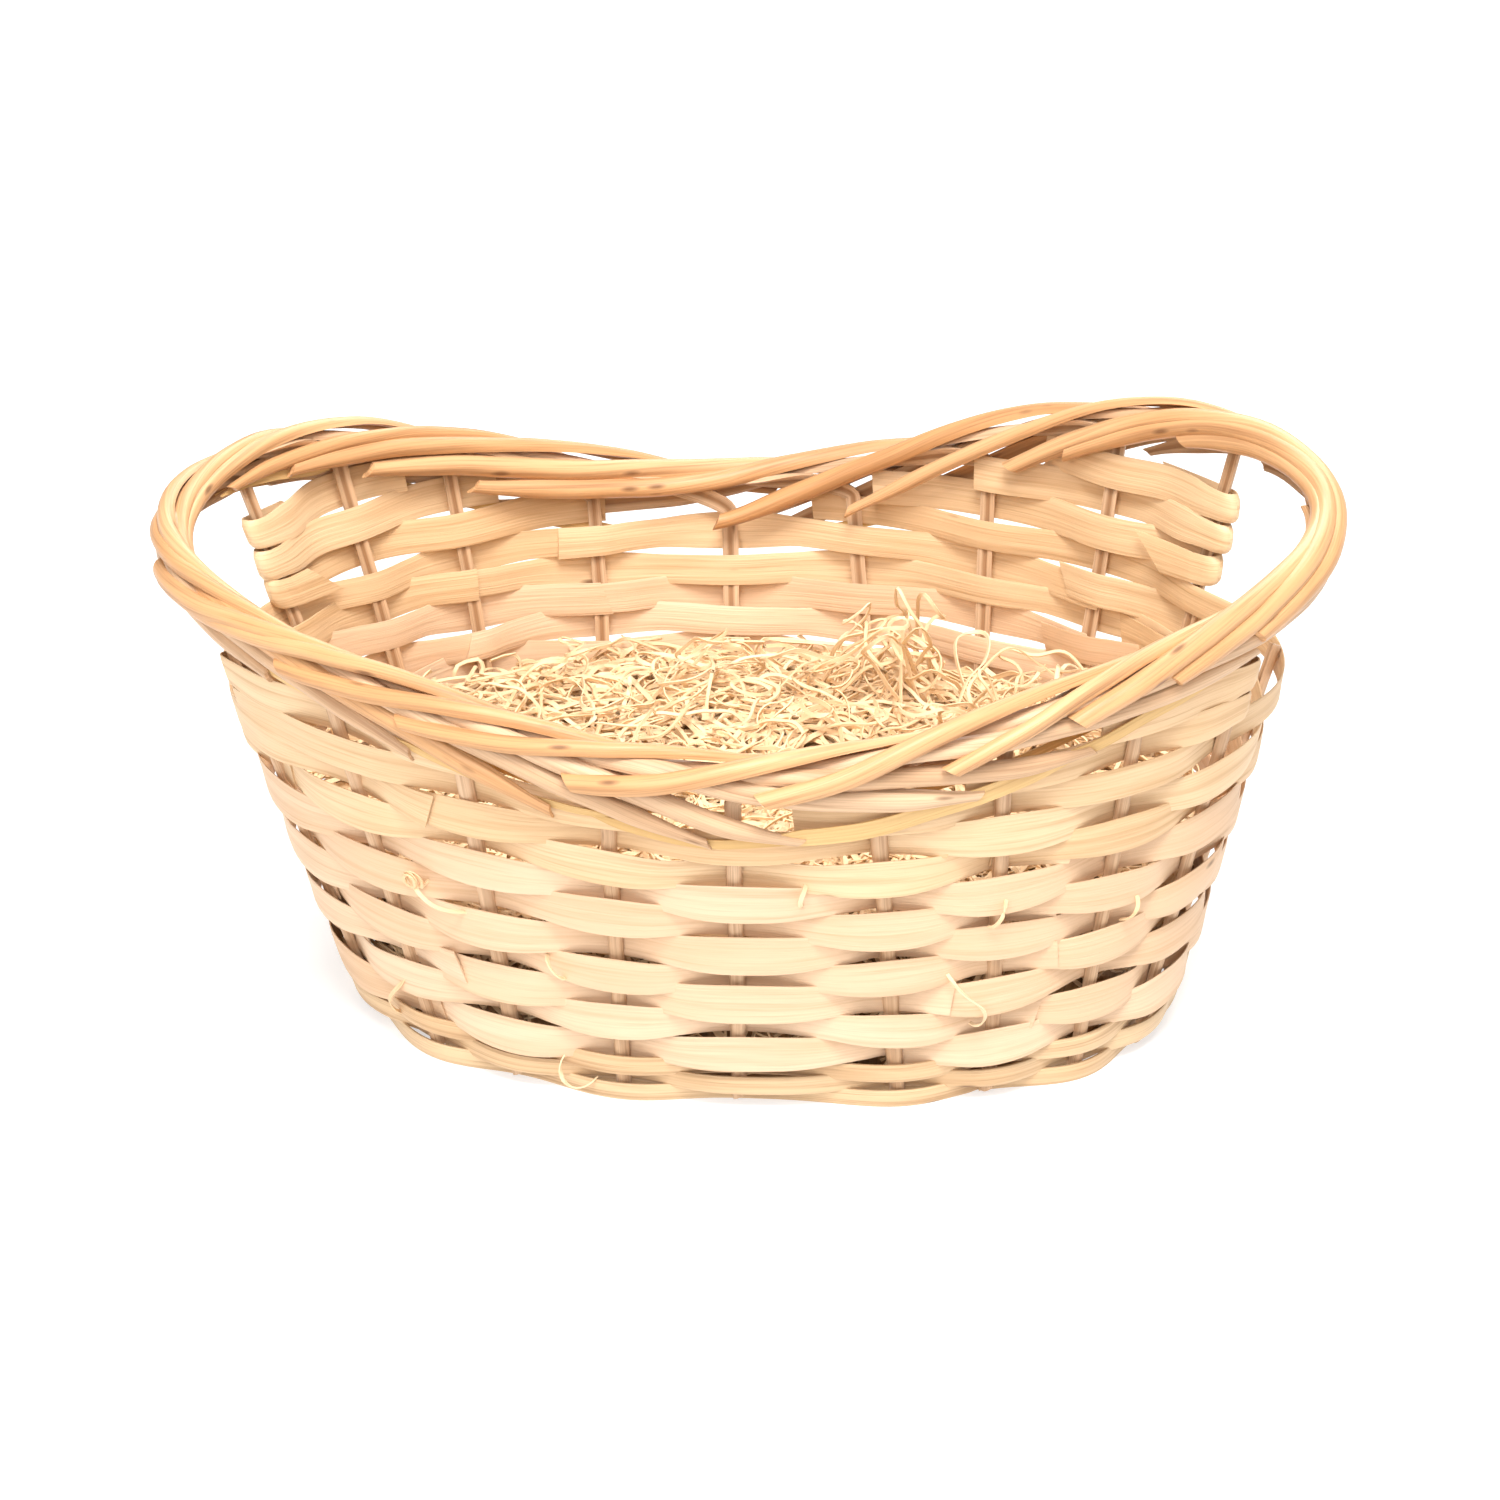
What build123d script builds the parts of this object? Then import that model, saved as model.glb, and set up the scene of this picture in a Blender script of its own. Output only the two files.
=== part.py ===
from build123d import *
from math import cos, sin, pi, radians, tan
import os

# Oval gift basket of split willow: a woven base, round stakes that bend over at the
# top and twist into a plaited border, flat chip splints woven round the stakes, raised
# ends with a hand opening under the border, and a loose bed of wood wool inside.
# Millimetres. +Z is up, +X is the higher end, -Y is the front, the floor is z = 0.

# ---- Driving dimensions -------------------------------------------------------------
rim_half_length = 191.5       # border centre line in plan, a superellipse
rim_half_width = 131.0
rim_power = 1.85
base_half_length = 141.0      # foot of the wall in plan
base_half_width = 102.0
base_power = 2.45
base_shift = 10.3             # the low end leans out further than the high end

# Height of the border centre line at eight stations, from +X round by the back.
rim_heights = [172, 165, 118.5, 149, 155, 144, 127, 153]

stake_count = 20
stake_radius = 2.4
# How far each stake stands from its even place, in gaps between stakes.
stake_wander = [0, 0.2, 0.2, 0.2, 0.2, 0.1, 0.1, 0.2, 0.1, 0,
                0, 0, 0.1, 0.1, 0.1, -0.1, -0.2, -0.35, -0.35, -0.35]
stake_head = 1.0              # opening stakes stand this far above the row below
stake_corner = 1.8            # first bend of a stake, in stake radii
right_opening = 0             # stakes in the middle of the two hand openings
left_opening = 10

row_start = 17.0              # lower edge of the first woven row
row_pitch = 10.5
row_height = 10.1
row_count = 9                 # rows that run all the way round
shoulder_start = 111.8        # lower edge of the first short row
shoulder_pitch = 11.2
shoulder_height = 10.8
row_stagger = 5               # each row's splints start this many stakes further on
row_headroom = 1.0            # short rows stop this far under the border
longest_reach = 5             # gaps that a short row may run from its opening
splint_thickness = 1.0
weave_clearance = 0.35        # between a splint and the stake that it passes
splint_gaps = [6, 4, 6, 4]    # stakes that each splint of a row spans
butt_gap = 0.01               # between two splints of a row, in gaps between stakes
fold_reach = 0.13             # shoulder splints run on past the opening stake

foot_rows = 3
foot_start = 0.3
foot_pitch = 5.5
foot_height = 5.2
foot_thickness = 2.0

rope_radius = 3.7             # stakes twist round the border centre line
rope_strands = 4
wrap_radius = 2.2             # loose rods laid over the rope
wrap_offset = 8.35
wrap_length = 2.7             # in gaps between stakes
wrap_first_angle = -35.0
wrap_last_angle = 170.0
rope_stretch = 0.1            # extra height of the border at the middle of the sides
wrap_stretch = 0.35
strand_end_gap = 0.12

hoop_inset = 8.0
hoop_width = 5.0
hoop_height = 6.0
rib_width = 6.0
rib_thickness = 2.4
rib_spacing = 32.0
rib_count = 5
base_middle = 3.2             # height of the middle of the woven base
base_splint_width = 11.0
base_splint_pitch = 12.0
base_splint_count = 21
base_splint_clearance = 0.2   # between a base splint and the rib that it passes
base_trim = 11.0

wool_inset = 5.4
wool_bottom = 7.4
wool_shoulder = 70.0
wool_slope = 79.0
wool_crown = 84.0
wool_slope_scale = 0.84       # the bed narrows toward its crown
wool_crown_scale = 0.5

steps = 4                     # points per gap between stakes, and per rib spacing
plan_steps = 720
base_steps = 60
nearby = 0.05                 # gaps between stakes, for finding directions
bend_share = 0.45             # of the shorter run that each bend takes up
least_turn = 0.05             # degrees
os.makedirs("parts", exist_ok=True)


# ---- Shape of the wall --------------------------------------------------------------
def signed_power(value, power):
    return abs(value) ** power * (1 if value > 0 else -1)


def oval(angle, half_length, half_width, power, shift=0.0):
    x = half_length * signed_power(cos(angle), 2 / power)
    y = half_width * signed_power(sin(angle), 2 / power)
    return shift + x, y


def rim_plan(angle):
    return oval(angle, rim_half_length, rim_half_width, rim_power)


def rim_height(angle):
    """Smooth curve through the station heights."""
    total = 0
    for station, height in enumerate(rim_heights):
        gap = angle - station * pi / 4
        kernel = 1 + 2 * cos(gap) + 2 * cos(2 * gap) + 2 * cos(3 * gap) + cos(4 * gap)
        total += height * kernel / 8
    return total


def plan_lengths():
    """Length of the rim in plan from +X to each small step of angle."""
    lengths = [0.0]
    before = rim_plan(0)
    for step in range(1, plan_steps + 1):
        after = rim_plan(2 * pi * step / plan_steps)
        lengths.append(lengths[-1] + (Vector(*after) - Vector(*before)).length)
        before = after
    return lengths


rim_lengths = plan_lengths()


def rim_angle(place):
    """Angle of a place counted in stakes, with the stakes' wander worked in."""
    lower = int(place // 1)
    share = place - lower
    this_wander = stake_wander[lower % stake_count]
    next_wander = stake_wander[(lower + 1) % stake_count]
    turns = (place + (1 - share) * this_wander + share * next_wander) / stake_count
    whole = turns // 1
    length = (turns - whole) * rim_lengths[-1]
    low, high = 0, plan_steps
    while high - low > 1:
        middle = (low + high) // 2
        if rim_lengths[middle] > length:
            high = middle
        else:
            low = middle
    part = (length - rim_lengths[low]) / (rim_lengths[high] - rim_lengths[low])
    return 2 * pi * (whole + (low + part) / plan_steps)


def rim_point(place):
    angle = rim_angle(place)
    return Vector(*rim_plan(angle), rim_height(angle))


def base_point(place):
    angle = rim_angle(place)
    return Vector(*oval(angle, base_half_length, base_half_width, base_power, base_shift), 0)


def wall_centre(place, height):
    foot = base_point(place)
    top = rim_point(place)
    return foot + (top - foot) * (height / top.Z)


def wall_point(place, height, out):
    """Point at a height on the wall, moved out square to it in plan."""
    along = wall_centre(place + nearby, height) - wall_centre(place - nearby, height)
    outward = Vector(along.Y, -along.X, 0).normalized()
    return wall_centre(place, height) + outward * out


def border_point(place, radius, angle_degrees, stretch):
    """Point round the border centre line; -90 degrees is the underside, 0 the outside."""
    centre = rim_point(place)
    along = (rim_point(place + nearby) - rim_point(place - nearby)).normalized()
    up = centre - base_point(place)
    up = (up - along * up.dot(along)).normalized()
    outward = along.cross(up)
    tall = radius * (1 + stretch * sin(rim_angle(place)) ** 2)
    turn = radians(angle_degrees)
    return centre + outward * (radius * cos(turn)) + up * (tall * sin(turn))


def border_underside(place):
    """Height of the lowest surface of the twisted stakes."""
    return border_point(place, rope_radius, -90, rope_stretch).Z - stake_radius


def places(start, end):
    count = max(1, round((end - start) * steps))
    return [start + (end - start) * index / count for index in range(count + 1)]


# ---- Rods ---------------------------------------------------------------------------
def bend_radii(points):
    """One bend radius for each inner point, as wide as its neighbours leave room for."""
    radii = []
    for before, here, after in zip(points, points[1:], points[2:]):
        run_in = here - before
        run_out = after - here
        half_turn = radians(max(run_in.get_angle(run_out), least_turn)) / 2
        radii.append(bend_share * min(run_in.length, run_out.length) / tan(half_turn))
    return radii


def rod(points, radius, radii):
    """Round rod along straight runs joined by tangent bends."""
    with BuildLine() as path:
        FilletPolyline(*points, radius=radii)
    with BuildSketch(Plane(points[0], z_dir=points[1] - points[0])) as section:
        Circle(radius)
    sweep(section.sketch, path=path.wire())


def strand_points(stake):
    """A stake's path once it has bent over: twisting along the border for four gaps."""
    turn = 360 / rope_strands
    return [border_point(place, rope_radius, -90 - turn * (place - stake), rope_stretch)
            for place in places(stake, stake + rope_strands - strand_end_gap)]


def stake(number):
    foot = wall_centre(number, foot_start)
    strand = strand_points(number)
    points = [foot] + strand
    radii = bend_radii(points)
    radii[0] = stake_corner * stake_radius
    with BuildPart() as piece:
        rod(points, stake_radius, radii)
    return piece


def short_stake(number, top):
    foot = wall_centre(number, foot_start)
    head = wall_centre(number, top)
    with BuildPart() as piece:
        with BuildSketch(Plane(foot, z_dir=head - foot)):
            Circle(stake_radius)
        extrude(amount=(head - foot).length)
    return piece


def handle_strand(number):
    points = strand_points(number)
    with BuildPart() as piece:
        rod(points, stake_radius, bend_radii(points))
    return piece


def border_wraps(first, count):
    """Rods that start on the outside, climb over the rope and end inside."""
    swing = wrap_last_angle - wrap_first_angle
    with BuildPart() as piece:
        for number in range(first, first + count):
            start = number + 1 / 2
            points = []
            for place in places(start, start + wrap_length):
                angle = wrap_first_angle + swing * (place - start) / wrap_length
                points.append(border_point(place, wrap_offset, angle, wrap_stretch))
            rod(points, wrap_radius, bend_radii(points))
    return piece


# ---- Splints ------------------------------------------------------------------------
def splint(row, start, end, low, high, thickness):
    """Flat splint woven in and out of the stakes, ruled between its two edges."""
    swing = stake_radius + weave_clearance + thickness / 2
    edges = []
    for height in (low, high):
        outer = []
        inner = []
        for place in places(start, end):
            wave = swing * cos(pi * (place + row))
            outer.append(wall_point(place, height, wave + thickness / 2))
            inner.append(wall_point(place, height, wave - thickness / 2))
        inner.reverse()
        with BuildSketch(Plane.XY.offset(height)) as edge:
            with BuildLine():
                Spline(*[(point.X, point.Y) for point in outer])
                Line((outer[-1].X, outer[-1].Y), (inner[0].X, inner[0].Y))
                Spline(*[(point.X, point.Y) for point in inner])
                Line((inner[-1].X, inner[-1].Y), (outer[0].X, outer[0].Y))
            make_face()
        edges.append(edge.sketch)
    loft(edges, ruled=True)


def row_span(row):
    if row > row_count:
        low = shoulder_start + (row - row_count - 1) * shoulder_pitch
        return low, low + shoulder_height
    low = row_start + (row - 1) * row_pitch
    return low, low + row_height


def ring_row(row, low, high, thickness):
    """One row right round the basket; its splints butt on the inside of a stake."""
    start = row_stagger * row + 1
    with BuildPart() as piece:
        for gaps in splint_gaps:
            splint(row, start + butt_gap / 2, start + gaps - butt_gap / 2, low, high, thickness)
            start += gaps
    return piece


def row_reach(row, opening, direction):
    """Place where a row that starts at an opening runs in under the falling border."""
    top = row_span(row)[1]
    place = opening
    while border_underside(place + direction / steps) > top + row_headroom:
        if abs(place - opening) >= longest_reach:
            break
        place += direction / steps
    return place


def shoulder_rows(rows, opening, direction):
    """Short rows of one shoulder, from the stake beside the opening to the border."""
    with BuildPart() as piece:
        for row in rows:
            near = opening + direction * (1 - fold_reach)
            far = row_reach(row, opening + direction, direction)
            splint(row, min(near, far), max(near, far), *row_span(row), splint_thickness)
    return piece


def sill_row(row, opening):
    """Row that passes under a hand opening and ends under the border on both sides."""
    start = row_reach(row, opening, -1)
    end = row_reach(row, opening, 1)
    with BuildPart() as piece:
        splint(row, start, end, *row_span(row), splint_thickness)
    return piece


# ---- Base ---------------------------------------------------------------------------
def base_outline(inset):
    """Face of the base oval, drawn in by an inset."""
    half_length = base_half_length - inset
    half_width = base_half_width - inset
    points = []
    for step in range(base_steps):
        points.append(oval(2 * pi * step / base_steps, half_length, half_width, base_power, base_shift))
    with BuildLine() as outline:
        Spline(*points, periodic=True)
    make_face(outline.edges())


with BuildPart() as base_hoop:
    with BuildSketch():
        base_outline(hoop_inset - hoop_width / 2)
    extrude(amount=hoop_height)
    with BuildSketch():
        base_outline(hoop_inset + hoop_width / 2)
    extrude(amount=hoop_height, mode=Mode.SUBTRACT)

with BuildPart() as base_ribs:
    with BuildSketch(Plane.XY.offset(base_middle - rib_thickness / 2)):
        with Locations((base_shift, 0)):
            with GridLocations(0, rib_spacing, 1, rib_count):
                Rectangle(2 * base_half_length, rib_width)
    extrude(amount=rib_thickness)
    with BuildSketch():
        base_outline(base_trim)
    extrude(amount=hoop_height, mode=Mode.INTERSECT)


def base_splint_profile(side):
    """Side view of one base splint, rising over one rib and dipping under the next."""
    swing = side * (rib_thickness / 2 + splint_thickness / 2 + base_splint_clearance)
    reach = steps * (rib_count + 1) // 2 + 1
    upper = []
    lower = []
    for step in range(-reach, reach + 1):
        y = step * rib_spacing / steps
        z = base_middle + swing * cos(pi * y / rib_spacing)
        upper.append((y, z + splint_thickness / 2))
        lower.append((y, z - splint_thickness / 2))
    lower.reverse()
    with BuildLine() as outline:
        Spline(*upper)
        Line(upper[-1], lower[0])
        Spline(*lower)
        Line(lower[-1], upper[0])
    make_face(outline.edges())


with BuildPart() as base_splints:
    for index in range(base_splint_count):
        x = base_shift + (index - (base_splint_count - 1) / 2) * base_splint_pitch
        with BuildSketch(Plane.YZ.offset(x - base_splint_width / 2)):
            base_splint_profile(1 if index % 2 else -1)
        extrude(amount=base_splint_width)
    with BuildSketch():
        base_outline(base_trim)
    extrude(amount=2 * hoop_height, mode=Mode.INTERSECT)


# ---- Wood wool ----------------------------------------------------------------------
def wool_outline(height, follow, scale):
    """Section of the bed: the wall at one height, drawn in, shrunk toward the middle."""
    points = []
    for step in range(2 * stake_count):
        edge = wall_point(step / 2, follow, -wool_inset)
        points.append((base_shift + (edge.X - base_shift) * scale, edge.Y * scale))
    with BuildSketch(Plane.XY.offset(height)) as section:
        with BuildLine():
            Spline(*points, periodic=True)
        make_face()
    return section.sketch


with BuildPart() as wood_wool:
    wool_sections = [wool_outline(wool_bottom, wool_bottom, 1),
                     wool_outline(wool_shoulder, wool_shoulder, 1),
                     wool_outline(wool_slope, wool_shoulder, wool_slope_scale),
                     wool_outline(wool_crown, wool_shoulder, wool_crown_scale)]
    loft(wool_sections, ruled=True)


# ---- Assembly -----------------------------------------------------------------------
def save(piece, name):
    piece.part.label = name
    export_step(piece.part, f"parts/{name}.step")


save(base_hoop, "base_hoop")
save(base_ribs, "base_ribs")
save(base_splints, "base_splints")
save(wood_wool, "wood_wool")

for number in range(foot_rows):
    low = foot_start + number * foot_pitch
    save(ring_row(number, low, low + foot_height, foot_thickness), f"foot_wale_{number + 1}")

for row in range(1, row_count + 1):
    save(ring_row(row, *row_span(row), splint_thickness), f"weft_row_{row}")

sill = row_count + 1
save(sill_row(sill, right_opening), "right_sill_splint")
for name, opening, direction, first, rows in (("back_right", right_opening, 1, sill + 1, 3),
                                              ("front_right", right_opening + stake_count, -1, sill + 1, 2),
                                              ("back_left", left_opening, -1, sill, 3),
                                              ("front_left", left_opening, 1, sill, 2)):
    save(shoulder_rows(range(first, first + rows), opening, direction), f"shoulder_splints_{name}")

for number in range(stake_count):
    if number == right_opening:
        piece = short_stake(number, row_span(sill)[1] + stake_head)
    elif number == left_opening:
        piece = short_stake(number, row_span(row_count)[1] + stake_head)
    else:
        piece = stake(number)
    save(piece, f"stake_{number + 1:02d}")

save(handle_strand(right_opening), "handle_strand_right")
save(handle_strand(left_opening), "handle_strand_left")

wraps_each = stake_count // 4
for index, name in enumerate(("back_right", "back_left", "front_left", "front_right")):
    save(border_wraps(index * wraps_each, wraps_each), f"border_wraps_{name}")
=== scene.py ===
import math

import bpy
import numpy as np
from mathutils import Matrix, Vector


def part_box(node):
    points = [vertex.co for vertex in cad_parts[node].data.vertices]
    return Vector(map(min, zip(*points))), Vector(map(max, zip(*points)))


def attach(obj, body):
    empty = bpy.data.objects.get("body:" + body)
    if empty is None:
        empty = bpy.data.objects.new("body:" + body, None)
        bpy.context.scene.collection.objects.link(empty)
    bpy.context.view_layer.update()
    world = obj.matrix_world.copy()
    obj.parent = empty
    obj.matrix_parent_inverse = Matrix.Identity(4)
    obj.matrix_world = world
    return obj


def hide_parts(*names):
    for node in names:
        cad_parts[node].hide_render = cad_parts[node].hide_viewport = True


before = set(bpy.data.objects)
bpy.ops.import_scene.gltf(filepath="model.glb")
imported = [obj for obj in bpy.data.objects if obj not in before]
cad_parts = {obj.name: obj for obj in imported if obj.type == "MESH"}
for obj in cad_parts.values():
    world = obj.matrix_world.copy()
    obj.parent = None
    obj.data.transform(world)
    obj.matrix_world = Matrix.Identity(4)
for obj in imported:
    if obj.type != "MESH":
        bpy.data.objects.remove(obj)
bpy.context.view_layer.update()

# The basket's shape in millimetres, with +X toward the higher end and -Y the front. A place
# counts stakes round the rim from +X by way of the back, and an out is a distance square to
# the wall. The numbers in this block are the CAD model's own.
RIM_LENGTH, RIM_WIDTH, RIM_POWER = 191.5, 131.0, 1.85
BASE_LENGTH, BASE_WIDTH, BASE_POWER, BASE_SHIFT = 141.0, 102.0, 2.45, 10.3
RIM_HEIGHTS = [172, 165, 118.5, 149, 155, 144, 127, 153]
STAKES = 20
STAKE_WANDER = [0, 0.2, 0.2, 0.2, 0.2, 0.1, 0.1, 0.2, 0.1, 0,
                0, 0, 0.1, 0.1, 0.1, -0.1, -0.2, -0.35, -0.35, -0.35]
RIGHT_OPENING, LEFT_OPENING = 0, 10
ROW_START, ROW_PITCH, ROW_HEIGHT, ROWS = 17.0, 10.5, 10.1, 9
SHOULDER_START, SHOULDER_PITCH, SHOULDER_HEIGHT = 111.8, 11.2, 10.8
SPLINT_GAPS = [6, 4, 6, 4]
FOOT_ROWS, FOOT_START, FOOT_PITCH, FOOT_HEIGHT = 3, 0.3, 5.5, 5.2

# Looks only: how the split willow differs from the CAD model's plain rods and bands.
STAKE_SIZE = (5.6, 3.6)       # width and thickness of the half-round rods
STRAND_SIZE = (7.6, 3.8)
WRAP_SIZE = (6.9, 4.0)
LEG_FOOT = 2.6                # the rods end above the floor, behind the foot
SPLINT_THICKNESS = 0.8
ROW_LAP, BULGE_LAP = 0.75, 1.4    # splints are wider than the rows, most so outside a stake
WRAP_STARTS = [0.4, 1.5, 2.6, 3.5, 4.6, 5.5, 6.4, 7.5, 8.5, 9.3,
               10.4, 11.0, 11.8, 12.7, 13.8, 15.2, 16.5, 17.4, 18.1, 18.8]
MM = 0.001

rng = np.random.default_rng(20)


# ---- Shape of the wall and border ----------------------------------------------------
def signed_power(value, power):
    return np.sign(value) * np.abs(value) ** power


def oval(angle, length, width, power, shift=0.0):
    x = shift + length * signed_power(np.cos(angle), 2 / power)
    y = width * signed_power(np.sin(angle), 2 / power)
    return x, y


def rim_height(angle):
    total = 0
    for station, height in enumerate(RIM_HEIGHTS):
        gap = angle - station * math.pi / 4
        kernel = 1 + 2 * np.cos(gap) + 2 * np.cos(2 * gap) + 2 * np.cos(3 * gap) + np.cos(4 * gap)
        total = total + height * kernel / 8
    return total


PLAN_ANGLES = np.linspace(0, 2 * math.pi, 1441)
PLAN_POINTS = np.stack(oval(PLAN_ANGLES, RIM_LENGTH, RIM_WIDTH, RIM_POWER), -1)
PLAN_LENGTHS = np.concatenate([[0], np.cumsum(np.linalg.norm(np.diff(PLAN_POINTS, axis=0), axis=1))])


def rim_angle(place):
    place = np.asarray(place, float)
    wander = np.interp(place % STAKES, np.arange(STAKES + 1), STAKE_WANDER + STAKE_WANDER[:1])
    turns = (place + wander) / STAKES
    whole = np.floor(turns)
    return 2 * math.pi * whole + np.interp((turns - whole) * PLAN_LENGTHS[-1], PLAN_LENGTHS, PLAN_ANGLES)


def rim_point(place):
    angle = rim_angle(place)
    return np.stack([*oval(angle, RIM_LENGTH, RIM_WIDTH, RIM_POWER), rim_height(angle)], -1)


def base_point(place):
    angle = rim_angle(place)
    return np.stack([*oval(angle, BASE_LENGTH, BASE_WIDTH, BASE_POWER, BASE_SHIFT), 0 * angle], -1)


def unit(vectors):
    return vectors / np.linalg.norm(vectors, axis=-1, keepdims=True)


def wall_centre(place, height):
    foot = base_point(place)
    top = rim_point(place)
    return foot + (top - foot) * (height / top[..., 2])[..., None]


def wall_point(place, height, out):
    """Points of the wall; place, height and out are arrays of one shape."""
    along = wall_centre(place + 0.05, height) - wall_centre(place - 0.05, height)
    outward = unit(np.stack([along[..., 1], -along[..., 0], 0 * along[..., 0]], -1))
    return wall_centre(place, height) + outward * out[..., None]


def border_frame(place):
    """Centre, along, outward and up of the border at each place."""
    centre = rim_point(place)
    along = unit(rim_point(place + 0.05) - rim_point(place - 0.05))
    up = centre - base_point(place)
    up = unit(up - along * (up * along).sum(-1, keepdims=True))
    return centre, along, np.cross(along, up), up


def side_share(place):
    """1 at the middle of the long sides, 0 at the ends."""
    return np.sin(rim_angle(place)) ** 2


def smooth(value):
    value = np.clip(value, 0, 1)
    return value * value * (3 - 2 * value)


def drift(values, wavelength, size):
    """Slow random wander along a piece."""
    total = np.zeros_like(values)
    for octave in (1.0, 2.3):
        phase = rng.uniform(0, 2 * math.pi)
        total += np.sin(values * 2 * math.pi * octave / wavelength + phase) / octave
    return total * size * 0.6


# ---- Building pieces -----------------------------------------------------------------
GRAIN_SPREAD = 1000           # how far apart the grain of different tubes is taken, in mm


class Piece:
    """Collects closed tubes of any section, then becomes one mesh."""

    def __init__(self):
        self.points = []
        self.grain = []
        self.marks = []
        self.quads = []
        self.caps = []
        self.count = 0

    def tube(self, rings, around, mark=None):
        """rings is (n, m, 3) in millimetres; around is the distance round the section."""
        n, m = rings.shape[:2]
        seed = rng.uniform()
        centres = rings.mean(1)
        length = np.concatenate([[0], np.cumsum(np.linalg.norm(np.diff(centres, axis=0), axis=1))])
        grain = np.zeros((n, m, 3))
        grain[..., 0] = length[:, None]
        grain[..., 1] = around
        grain[..., 2] = seed * GRAIN_SPREAD
        index = self.count + np.arange(n * m).reshape(n, m)
        ahead = np.roll(index, -1, axis=1)
        self.quads.append(np.stack([index[:-1], ahead[:-1], ahead[1:], index[1:]], -1).reshape(-1, 4))
        self.caps.append(index[0][::-1])
        self.caps.append(index[-1])
        self.points.append(rings.reshape(-1, 3) * MM)
        self.grain.append(grain.reshape(-1, 3) * MM)
        self.marks.append(np.zeros(n * m) if mark is None else np.broadcast_to(mark, (n, m)).reshape(-1))
        self.count += n * m

    def build(self, name, material, body, slot, replaced=(), sharp=38):
        points = np.concatenate(self.points)
        quads = np.concatenate(self.quads)
        mesh = bpy.data.meshes.new(name)
        corners = np.concatenate([quads.reshape(-1), *self.caps])
        sizes = np.array([4] * len(quads) + [len(cap) for cap in self.caps])
        starts = np.concatenate([[0], np.cumsum(sizes)[:-1]])
        mesh.vertices.add(len(points))
        mesh.vertices.foreach_set("co", points.astype(np.float32).reshape(-1))
        mesh.loops.add(len(corners))
        mesh.loops.foreach_set("vertex_index", corners.astype(np.int32))
        mesh.polygons.add(len(sizes))
        mesh.polygons.foreach_set("loop_start", starts.astype(np.int32))
        mesh.polygons.foreach_set("loop_total", sizes.astype(np.int32))
        grain = mesh.attributes.new("grain", "FLOAT_VECTOR", "POINT")
        grain.data.foreach_set("vector", np.concatenate(self.grain).astype(np.float32).reshape(-1))
        mark = mesh.attributes.new("mark", "FLOAT", "POINT")
        mark.data.foreach_set("value", np.concatenate(self.marks).astype(np.float32))
        mesh.update(calc_edges=True)
        mesh.validate()
        mesh.polygons.foreach_set("use_smooth", [True] * len(sizes))
        mesh.set_sharp_from_angle(angle=math.radians(sharp))
        piece = bpy.data.objects.new(name, mesh)
        bpy.context.collection.objects.link(piece)
        mesh.materials.append(material)
        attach(piece, body)
        if replaced:
            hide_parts(*replaced)


# ---- Materials -----------------------------------------------------------------------
def node(tree, kind, inputs=None, **settings):
    made = tree.nodes.new(kind)
    for key, value in settings.items():
        setattr(made, key, value)
    for key, value in (inputs or {}).items():
        if isinstance(value, bpy.types.NodeSocket):
            tree.links.new(value, made.inputs[key])
        else:
            made.inputs[key].default_value = value
    return made


def mixed(tree, factor, first, second):
    mix = node(tree, "ShaderNodeMix", data_type="RGBA")
    for key, value in ((0, factor), (6, first), (7, second)):
        if isinstance(value, bpy.types.NodeSocket):
            tree.links.new(value, mix.inputs[key])
        else:
            mix.inputs[key].default_value = value
    return mix.outputs[2]


def ramp(tree, factor, low, high):
    made = node(tree, "ShaderNodeMapRange", {"Value": factor, "From Min": low, "From Max": high})
    return made.outputs[0]


# Noises as scales along and across the grain, per metre, then detail and offset.
FINE_GRAIN = (22, 1500, 3, 0)
BROAD_GRAIN = (10, 320, 2, 7)
BLOTCHES = (14, 60, 2, 19)
PIECE_TINT = (1.5, 3, 0, 31)
NOISE_ROUGHNESS = 0.6
GRAIN_STRENGTH = 0.6
KNOT_SCALE, KNOT_STRENGTH = (38, 130, 900), 0.75
KNOT_COLOUR, PITH_COLOUR = (0.16, 0.07, 0.03, 1), (0.30, 0.14, 0.055, 1)
ROUGHNESS_BELOW, ROUGHNESS_ABOVE = 0.08, 0.12
RELIEF_STRENGTH, RELIEF_HEIGHT = 0.5, 0.0005
SPECULAR, COAT_ROUGHNESS = 0.3, 0.25


def maths(tree, operation, first, second):
    return node(tree, "ShaderNodeMath", {0: first, 1: second}, operation=operation).outputs[0]


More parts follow.
